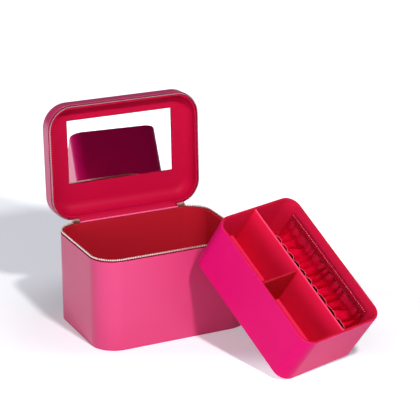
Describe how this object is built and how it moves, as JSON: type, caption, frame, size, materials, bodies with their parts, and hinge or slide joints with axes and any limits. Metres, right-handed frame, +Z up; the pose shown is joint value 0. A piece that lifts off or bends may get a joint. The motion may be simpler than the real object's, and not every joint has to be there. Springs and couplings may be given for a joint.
{
  "type": "makeup case",
  "caption": "Zip-around makeup case with rounded corners, a mirror in its hinged lid and a lift-out divided tray that leans on the base's front corner.",
  "frame": {"origin": "middle of the base's underside, on the floor", "axes": "+Z up, the front faces -Y, +X to the right seen from the front"},
  "size_m": [0.3258, 0.4606, 0.3111],
  "materials": {
    "pink_leatherette": "smooth satin leatherette",
    "red_lining": "fine matt lining",
    "pocket_satin": "gathered satin",
    "case_board": "raw board",
    "padding": "thin padding",
    "zip_tape": "woven tape",
    "zip_brass": "pale gold plate",
    "mirror_glass": "silvered glass"
  },
  "bodies": {
    "case": {"base_cover": "pink_leatherette", "base_bottom_cover": "pink_leatherette", "base_padding": "padding", "base_board": "case_board", "base_bottom_board": "case_board", "base_lining": "red_lining", "base_floor": "red_lining", "base_zip_tape": "zip_tape", "base_zip_teeth": "zip_brass", "hinge_base_leaf": "pink_leatherette"},
    "lid": {"lid_cover": "pink_leatherette", "lid_padding": "padding", "lid_board": "case_board", "lid_top_board": "case_board", "lid_lining": "red_lining", "lid_panel": "red_lining", "mirror": "mirror_glass", "lid_zip_tape": "zip_tape", "lid_zip_teeth": "zip_brass", "hinge_lid_leaf": "pink_leatherette", "handle_strap": "pink_leatherette", "handle_rivets": "zip_brass"},
    "tray": {"tray_cover": "pink_leatherette", "tray_bottom_cover": "pink_leatherette", "tray_board": "case_board", "tray_corner_boards": "case_board", "tray_bottom": "case_board", "tray_lining": "red_lining", "tray_floor": "red_lining", "tray_divider_long": "red_lining", "tray_divider_skins": "red_lining", "tray_divider_cross": "red_lining", "tray_side_board_far": "red_lining", "tray_side_board_near": "red_lining", "tray_pocket_casing": "pocket_satin", "tray_pocket_gathers": "pocket_satin", "tray_brush_loops": "red_lining"},
    "slider_left": {"zip_slider_left": "zip_brass"},
    "slider_right": {"zip_slider_right": "zip_brass"},
    "pull_left": {"zip_pull_left": "zip_brass"},
    "pull_right": {"zip_pull_right": "zip_brass"}
  },
  "joints": [
    {"name": "lid_hinge", "type": "hinge", "parent": "case", "child": "lid", "pos_m": [0, 0.087, 0.1374], "axis": [1, 0, 0], "range_deg": [0, 92.2]},
    {"name": "tray_lift", "type": "slide", "parent": "case", "child": "tray", "axis": [0, 0, 1], "range_m": [0, 0.2]},
    {"name": "slider_left_run", "type": "hinge", "parent": "case", "child": "slider_left", "pos_m": [-0.0835, 0.0505, 0.1374], "axis": [0, 0, 1], "range_deg": [0, 76]},
    {"name": "slider_right_run", "type": "hinge", "parent": "case", "child": "slider_right", "pos_m": [0.0835, 0.0505, 0.1374], "axis": [0, 0, 1], "range_deg": [-76, 0]},
    {"name": "pull_left_swing", "type": "hinge", "parent": "slider_left", "child": "pull_left", "pos_m": [-0.08587, 0.08928, 0.1355], "axis": [0.9981, 0.061, 0], "range_deg": [-4, 80]},
    {"name": "pull_right_swing", "type": "hinge", "parent": "slider_right", "child": "pull_right", "pos_m": [0.08587, 0.08928, 0.1355], "axis": [0.9981, -0.061, 0], "range_deg": [-4, 80]}
  ]
}
